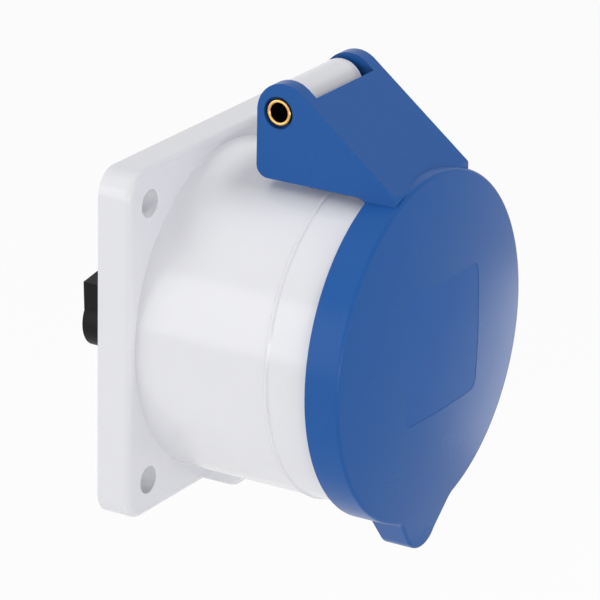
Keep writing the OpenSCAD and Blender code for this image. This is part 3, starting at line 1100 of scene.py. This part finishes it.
    def build(self) -> Object:
        """Models the lid.

        Returns:
            The finished moulding.
        """
        lid = self.cover()
        Bench.combine(lid, "UNION", [self.hinge_cover(), self.shelf()])
        swing = Bench.drum("swing", Vector((0.0, 0.0)), self.swing_r, self.swing_from,
                           self.rim_back, Plane.FRONT, Bench.SPIN_STEPS)
        Bench.combine(lid, "DIFFERENCE", [self.cavity(), self.label(), swing]
                      + self.pin_holes())
        lid.name = "lid_moulding"
        Bench.finish(lid)
        dress(lid, BLUE_LID)
        dress_part(lid, BLUE_FIELD, self._in_field)
        seat(lid, Body.LID, "lid")
        return lid


# --- Pin and spring ----------------------------------------------------------------------


@dataclass
class HingeParts:
    """The tube pin and the torsion spring round it."""

    pin_at: Vector = PIN_AT
    pin_hole_r: float = 1.85
    pin_end: float = 13.6
    roll: float = 0.95
    pin_sides: int = 64
    spring_r: float = 3.1
    wire_r: float = 0.4
    wire_sides: int = 14
    turns: int = 8
    turn_steps: int = 32
    coil_from: float = 2.4
    coil_to: float = 10.0
    fixed_leg: float = 5.0
    moving_leg: float = 14.0

    def tube(self) -> Object:
        """The tube pin, with rolled rims."""
        rim_r = (PIN_R - self.pin_hole_r) / 2 * self.roll
        half = rounded([
            Corner(self.pin_hole_r, 0.0), Corner(self.pin_hole_r, self.pin_end, rim_r),
            Corner(PIN_R, self.pin_end, rim_r), Corner(PIN_R, 0.0)], closed=False, step=15)
        points = half + [Vector((p.x, -p.y)) for p in reversed(half[1:-1])] + [half[0]]
        tube = Bench.line("pin_tube", [Vector((p.y, 0.0, p.x)) * MM for p in points])
        bpy.ops.mesh.spin(
            steps=self.pin_sides, angle=2 * math.pi, center=(0, 0, 0), axis=(1, 0, 0)
        )
        bpy.ops.mesh.select_all(action="SELECT")
        bpy.ops.transform.translate(value=place(self.pin_at, Plane.SIDE))
        Bench.close_up()
        Bench.finish(tube, 40)
        dress(tube, BRIGHT_TUBE)
        # The tube's inside gets the near-black painted shade of the bore, not brass.
        dress_part(tube, BORE_PAINTED_SHADE, self._in_shaded_bore)
        seat(tube, Body.LID, "hinge_pin")
        return tube

    def _in_shaded_bore(self, centre: Vector) -> bool:
        """Whether a face's centre lies on the tube's inside, which is painted near-black as shade
        in the bore.
        """
        offset = centre - place(self.pin_at, Plane.SIDE)
        return math.hypot(offset.y, offset.z) < (self.pin_hole_r + 0.05) * MM

    def spring(self) -> Object:
        """The torsion spring: a screwed circle whose two ends are drawn out as legs."""
        bpy.ops.object.select_all(action="DESELECT")
        bpy.ops.mesh.primitive_circle_add(vertices=self.wire_sides, radius=self.wire_r * MM)
        wire = bpy.context.object
        wire.name = "spring_wire"
        Bench.edit(wire)
        start = Vector((self.coil_from, -self.spring_r, 0)) * MM
        bpy.ops.transform.translate(value=start)
        Bench.done()
        Bench.modify(
            wire, "SCREW", axis="X", angle=COVER_SLOPE - math.radians(360 * self.turns - 90),
            steps=self.turn_steps * self.turns, render_steps=self.turn_steps * self.turns,
            screw_offset=(self.coil_to - self.coil_from) * MM, use_merge_vertices=False,
        )
        self._draw_leg(wire, start, Vector((0, 0, -1)), self.fixed_leg)
        sine, cosine = math.sin(COVER_SLOPE), math.cos(COVER_SLOPE)
        end = Vector((self.coil_to, self.spring_r * sine, -self.spring_r * cosine)) * MM
        self._draw_leg(wire, end, Vector((0, -cosine, -sine)), self.moving_leg)
        Bench.edit(wire)
        bpy.ops.transform.translate(value=place(self.pin_at, Plane.SIDE))
        Bench.close_up()
        Bench.finish(wire, 45)
        dress(wire, PLATED_STEEL)
        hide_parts("lid_spring")
        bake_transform(wire)
        LOG.info("%s: %d faces, twists with the hinge", wire.name, len(wire.data.polygons))
        return wire

    def _draw_leg(self, wire: Object, at: Vector, along: Vector, length: float) -> None:
        """Draws out one end of the coil as a straight leg with a closed end.

        Args:
            wire: the spring.
            at: centre of the wire's end, in metres.
            along: direction of the leg.
            length: its length, in millimetres.
        """
        Bench.edit(wire)
        bpy.ops.mesh.select_all(action="DESELECT")
        Bench.done()
        for vertex in wire.data.vertices:
            offset = vertex.co - at
            vertex.select = (abs(offset.dot(along)) < 2 * Bench.SAME_PLANE
                             and offset.length < 1.05 * self.wire_r * MM)
        bpy.ops.object.mode_set(mode="EDIT")
        bpy.ops.mesh.select_mode(type="EDGE")
        bpy.ops.mesh.extrude_region_move(
            TRANSFORM_OT_translate={"value": along * length * MM}
        )
        bpy.ops.mesh.edge_face_add()
        Bench.done()


# --- Pieces that keep their solids ---------------------------------------------------------


@dataclass(frozen=True)
class CarriedPieces:
    """Solids whose shape is right as packed, which only get their finish."""

    rubber: tuple[str, ...] = ("flange_seal", "lid_seal")
    black: tuple[str, ...] = ("contact_carrier", "terminal_carrier")
    poles: tuple[str, ...] = ("live", "neutral", "earth")

    def dress_all(self) -> None:
        """Gives each carried solid its finish."""
        finishes: dict[str, Finish] = {node: RUBBER for node in self.rubber}
        finishes.update({node: BLACK_CARRIER for node in self.black})
        finishes["carrier_screws"] = PLATED_STEEL
        for pole in self.poles:
            finishes[f"{pole}_contact"] = CONTACT_BRASS
            finishes[f"{pole}_spring_ring"] = PLATED_STEEL
            finishes[f"{pole}_terminal_screw"] = PLATED_STEEL
        for node, finish in finishes.items():
            dress(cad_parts[node], finish)
            LOG.info("%s: dressed as %s", node, finish.name)


# --- Studio --------------------------------------------------------------------------------


@dataclass
class Studio:
    """Camera, pale floor, soft lamps and a white surround."""

    camera_at: Vector = Vector((-0.707042, -0.448235, 0.309518))
    right: Vector = Vector((0.52050423, -0.85368237, 0.01737115))
    up: Vector = Vector((0.2885221, 0.19499152, 0.93740776))
    lens: float = 274.33
    sensor_w: float = 36.0
    soft_light: float = 0.28
    soft_tint: Colour = (0.96, 0.97, 1.0)
    floor_drop: float = 0.09
    floor_w: float = 6.0
    floor_paint: Colour = (0.9, 0.9, 0.9)
    floor_seen: float = 0.93

    def camera(self) -> None:
        """Stands the camera in front, to the left and above."""
        data = bpy.data.cameras.new("camera")
        data.lens = self.lens
        data.sensor_width = self.sensor_w
        data.clip_start = 0.01
        data.clip_end = 20.0
        camera = bpy.data.objects.new("camera", data)
        bpy.context.scene.collection.objects.link(camera)
        back = self.right.cross(self.up)
        turn = Matrix((self.right, self.up, back)).transposed()
        camera.matrix_world = Matrix.Translation(self.camera_at) @ turn.to_4x4()
        bpy.context.scene.camera = camera

    def lamp(
        self, name: str, at: Vector, size: tuple[float, float], glow: float,
        target: Vector = Vector((0, -0.03, 0)), mirrored: bool = True,
    ) -> None:
        """Adds a soft rectangular lamp that faces a target.

        Args:
            name: name of the lamp.
            at: its place, in metres.
            size: its width and height.
            glow: how bright its face is, where 1 is the white of the surround.
            target: the place that it faces.
            mirrored: whether glossy surfaces show it.
        """
        data = bpy.data.lights.new(name, "AREA")
        data.shape = "RECTANGLE"
        data.size, data.size_y = size
        data.energy = glow * math.pi * size[0] * size[1]
        lamp = bpy.data.objects.new(name, data)
        bpy.context.scene.collection.objects.link(lamp)
        lamp.location = at
        lamp.visible_glossy = mirrored
        lamp.rotation_mode = "QUATERNION"
        lamp.rotation_quaternion = (target - at).to_track_quat("-Z", "Y")

    @staticmethod
    def seen(book: NodeBook) -> Wire:
        """1 for a ray that shows the surround (camera, glossy or transmission), or else 0."""
        path = book.node("ShaderNodeLightPath").outputs
        glossy, through = path["Is Glossy Ray"], path["Is Transmission Ray"]
        return Wire(book, path["Is Camera Ray"]) | Wire(book, glossy) | Wire(book, through)

    def surround(self) -> None:
        """White for the camera and for reflections, and a plain soft light elsewhere."""
        world = bpy.data.worlds.new("surround")
        bpy.context.scene.world = world
        book = NodeBook(world)
        soft = book.node("ShaderNodeBackground", {},
                         {"Color": self.soft_tint, "Strength": self.soft_light})
        white = book.node("ShaderNodeBackground", {}, {"Color": (1.0, 1.0, 1.0)})
        book.swap(self.seen(book), soft, white, "ShaderNodeOutputWorld")

    def floor(self) -> None:
        """A pale floor that is close to white where it is seen, and keeps a faint shadow."""
        low = PACKED_BOX[0].z - self.floor_drop
        bpy.ops.object.select_all(action="DESELECT")
        bpy.ops.mesh.primitive_plane_add(size=self.floor_w, location=(0, 0, low))
        floor = bpy.context.object
        floor.name = "floor"
        material = bpy.data.materials.new("pale_floor")
        book = NodeBook(material)
        paint = book.node("ShaderNodeBsdfDiffuse", {}, {"Color": self.floor_paint})
        glow = book.node("ShaderNodeEmission")
        book.swap(self.seen(book) * self.floor_seen, paint, glow, "ShaderNodeOutputMaterial")
        floor.data.materials.append(material)

    def build(self) -> None:
        """Sets up the camera, the lamps, the floor and the surround."""
        bpy.context.scene.view_settings.view_transform = "Standard"
        self.camera()
        self.surround()
        self.floor()
        self.lamp("left_panel", Vector((-0.84, 0.546, 0.19)), (1.2, 0.66), 1.6)
        self.lamp("back_lamp", Vector((-0.35, 0.6, 0.8)), (0.6, 0.6), 2.2, mirrored=False)
        self.lamp("top_lamp", Vector((0.1, -0.4, 0.92)), (0.3, 0.3), 12.0, mirrored=False)
        self.lamp("front_panel", Vector((-0.1, -1.0, 0.12)), (0.5, 0.5), 0.9)
        self.lamp("low_panel", Vector((-0.5, -0.6, -0.06)), (0.9, 0.12), 5.5)
        self.lamp("floor_panel", Vector((0.22, -0.07, -0.12)), (0.14, 0.12), 1.1,
                  target=Vector((0.02, -0.05, -0.02)))


def main() -> None:
    """Builds the studio and every piece in order."""
    logging.basicConfig(level=logging.INFO, format="%(message)s")
    Studio().build()
    Housing().build()
    Lid().build()
    hinge = HingeParts()
    hinge.tube()
    hinge.spring()
    CarriedPieces().dress_all()


if __name__ == "__main__":
    main()
